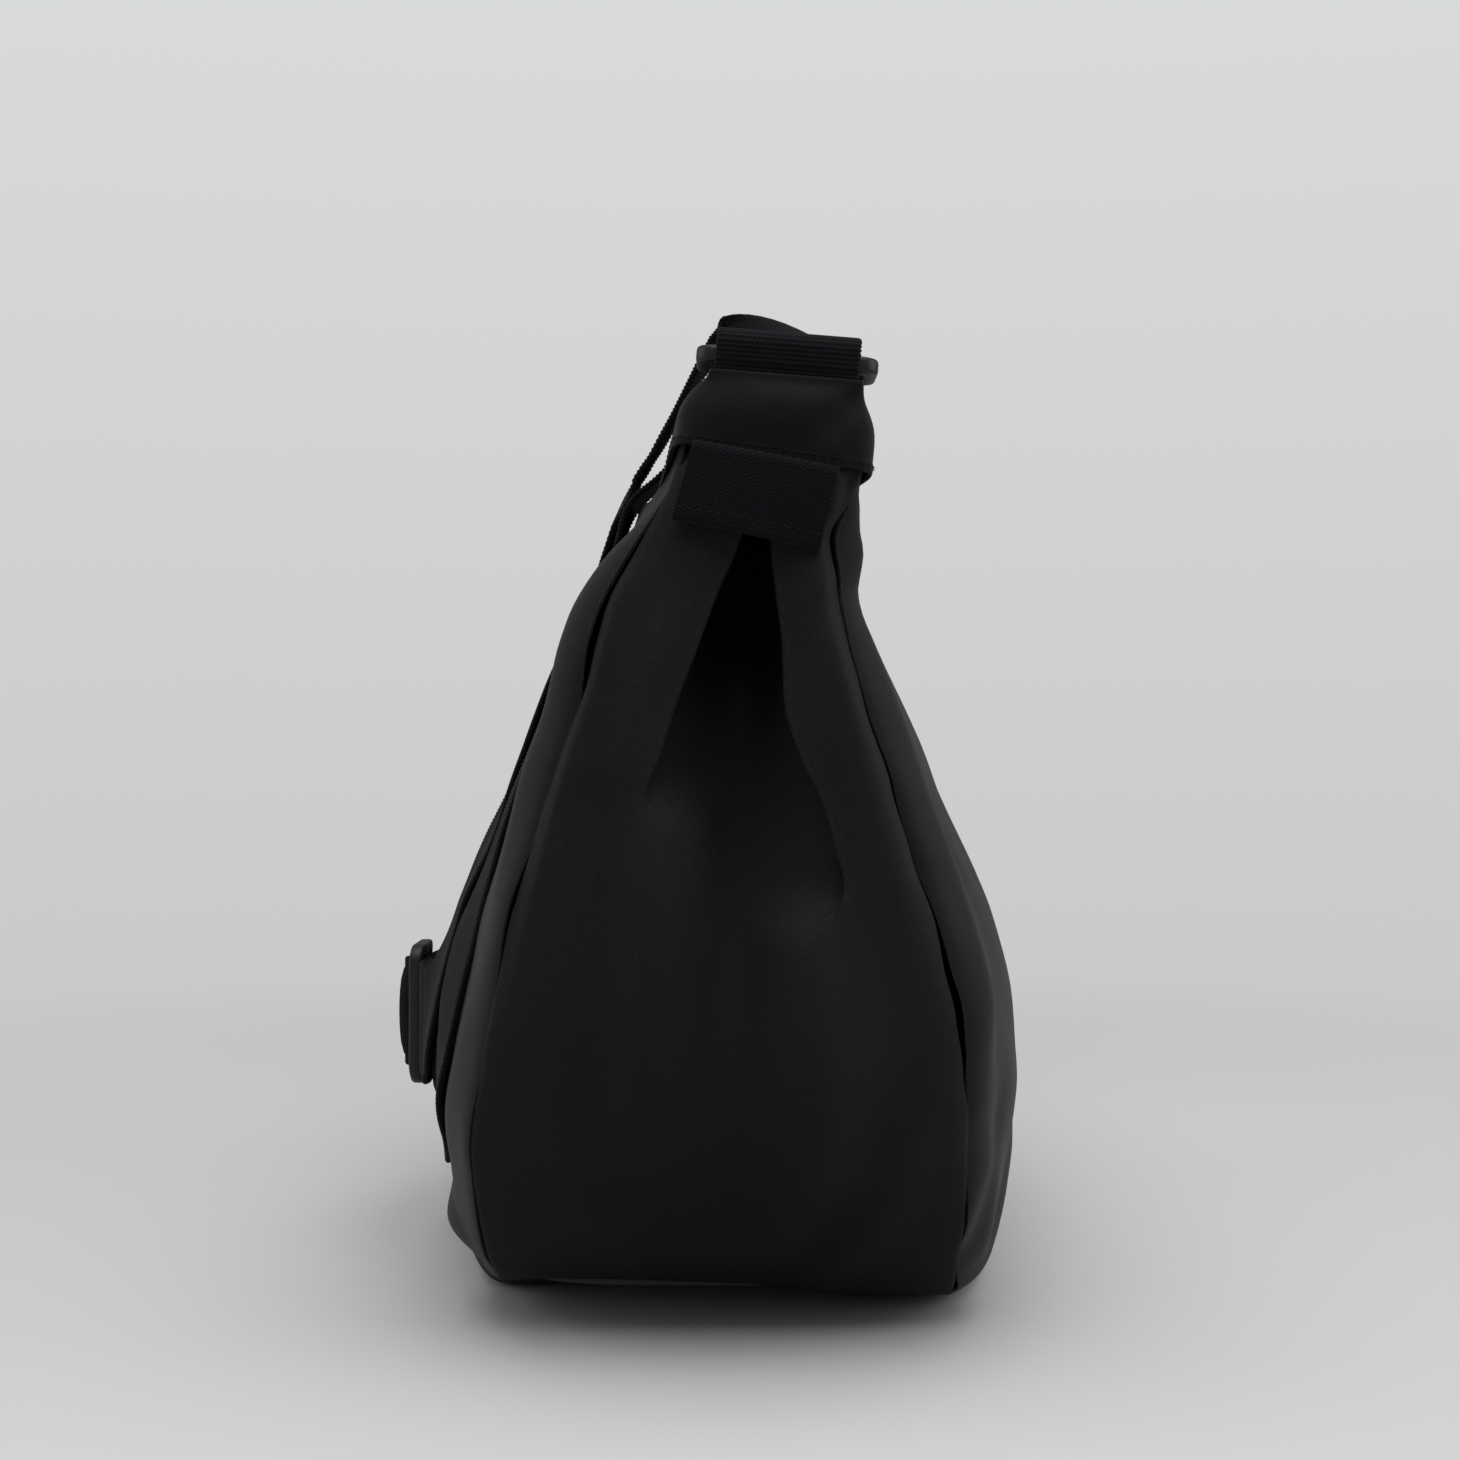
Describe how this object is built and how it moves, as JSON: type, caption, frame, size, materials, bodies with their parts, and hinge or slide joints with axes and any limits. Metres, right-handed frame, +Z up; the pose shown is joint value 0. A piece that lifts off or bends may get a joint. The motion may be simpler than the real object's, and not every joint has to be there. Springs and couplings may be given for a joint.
{
  "type": "crossbody bag",
  "caption": "Half moon crossbody bag in black nylon: zipped top between two raised horns, inverted pleat at each end, and an adjustable webbing strap on rings.",
  "frame": {"origin": "on the floor, at the centre of the flat base panel", "axes": "+X along the bag from the left end (-X, the end that the picture shows) to the right end, +Y towards the back where the strap hangs, +Z up"},
  "size_m": [0.4078, 0.2092, 0.2898],
  "materials": {
    "nylon": "matte black woven nylon with a soft sheen",
    "webbing": "ribbed black webbing",
    "plastic": "dark grey moulded plastic",
    "lining": "dark thin lining cloth",
    "zipper": "black coil zip on woven tape",
    "metal": "dark coated metal",
    "board": "stiff dark board"
  },
  "bodies": {
    "bag": {"front_panel": "nylon", "back_panel": "nylon", "end_gusset_left": "nylon", "end_gusset_right": "nylon", "base_panel": "nylon", "base_board": "board", "lining": "lining", "inner_pocket": "lining", "band_end_left": "nylon", "band_end_right": "nylon", "zipper_tape_end_left": "zipper", "zipper_tape_end_right": "zipper", "zipper_stop_left": "zipper", "zipper_stop_right": "zipper", "end_cap_left": "nylon", "end_cap_right": "nylon", "anchor_webbing_left": "webbing", "anchor_webbing_right": "webbing", "strap_upper_layer": "webbing", "strap_lower_layer": "webbing", "strap_single_run": "webbing"},
    "lip_front": {"top_strip_front": "nylon", "zipper_tape_front": "zipper", "zipper_chain_front": "zipper"},
    "lip_back": {"top_strip_back": "nylon", "zipper_tape_back": "zipper", "zipper_chain_back": "zipper"},
    "slider": {"zipper_slider": "metal"},
    "pull": {"zipper_pull": "metal"},
    "ring_end_left": {"ring_left": "plastic", "strap_loop_left": "webbing"},
    "ring_end_right": {"ring_right": "plastic", "strap_loop_right": "webbing"},
    "tab_left": {"grab_tab_left": "webbing"},
    "tab_right": {"grab_tab_right": "webbing"},
    "glide": {"strap_glide": "plastic", "strap_glide_pass": "webbing", "strap_sewn_end": "webbing"}
  },
  "joints": [
    {"name": "lip_front_hinge", "type": "hinge", "parent": "bag", "child": "lip_front", "pos_m": [0, -0.02295, 0.24], "axis": [1, 0, 0], "range_deg": [0, 100]},
    {"name": "lip_back_hinge", "type": "hinge", "parent": "bag", "child": "lip_back", "pos_m": [0, 0.02295, 0.24], "axis": [-1, 0, 0], "range_deg": [0, 100], "deforming": ["strap_upper_layer", "strap_lower_layer", "strap_single_run"]},
    {"name": "zip_slide", "type": "slide", "parent": "bag", "child": "slider", "axis": [1, 0, 0], "range_m": [0, 0.256]},
    {"name": "pull_swing", "type": "hinge", "parent": "slider", "child": "pull", "pos_m": [-0.1292, 0, 0.2423], "axis": [0, 1, 0], "range_deg": [0, 135], "deforming": ["strap_upper_layer", "strap_lower_layer", "strap_single_run"]},
    {"name": "ring_left_swing", "type": "hinge", "parent": "bag", "child": "ring_end_left", "pos_m": [-0.194, -0.01517, 0.2745], "axis": [0, -0.9968, -0.0802], "range_deg": [-8, 60], "deforming": ["strap_upper_layer", "strap_lower_layer"]},
    {"name": "ring_right_swing", "type": "hinge", "parent": "bag", "child": "ring_end_right", "pos_m": [0.194, -0.00358, 0.2745], "axis": [0, 0.9998, 0.0175], "range_deg": [-8, 60], "deforming": ["strap_single_run"]},
    {"name": "tab_left_swing", "type": "hinge", "parent": "bag", "child": "tab_left", "pos_m": [-0.2007, -0.0125, 0.2476], "axis": [0, 0.989, 0.1478], "range_deg": [0, 75]},
    {"name": "tab_right_swing", "type": "hinge", "parent": "bag", "child": "tab_right", "pos_m": [0.2007, -0.003, 0.2476], "axis": [0, -0.9995, -0.0322], "range_deg": [0, 75]},
    {"name": "glide_slide", "type": "slide", "parent": "bag", "child": "glide", "axis": [1, 0, 0], "range_m": [-0.03, 0.03], "deforming": ["strap_upper_layer", "strap_lower_layer", "strap_single_run"]}
  ]
}
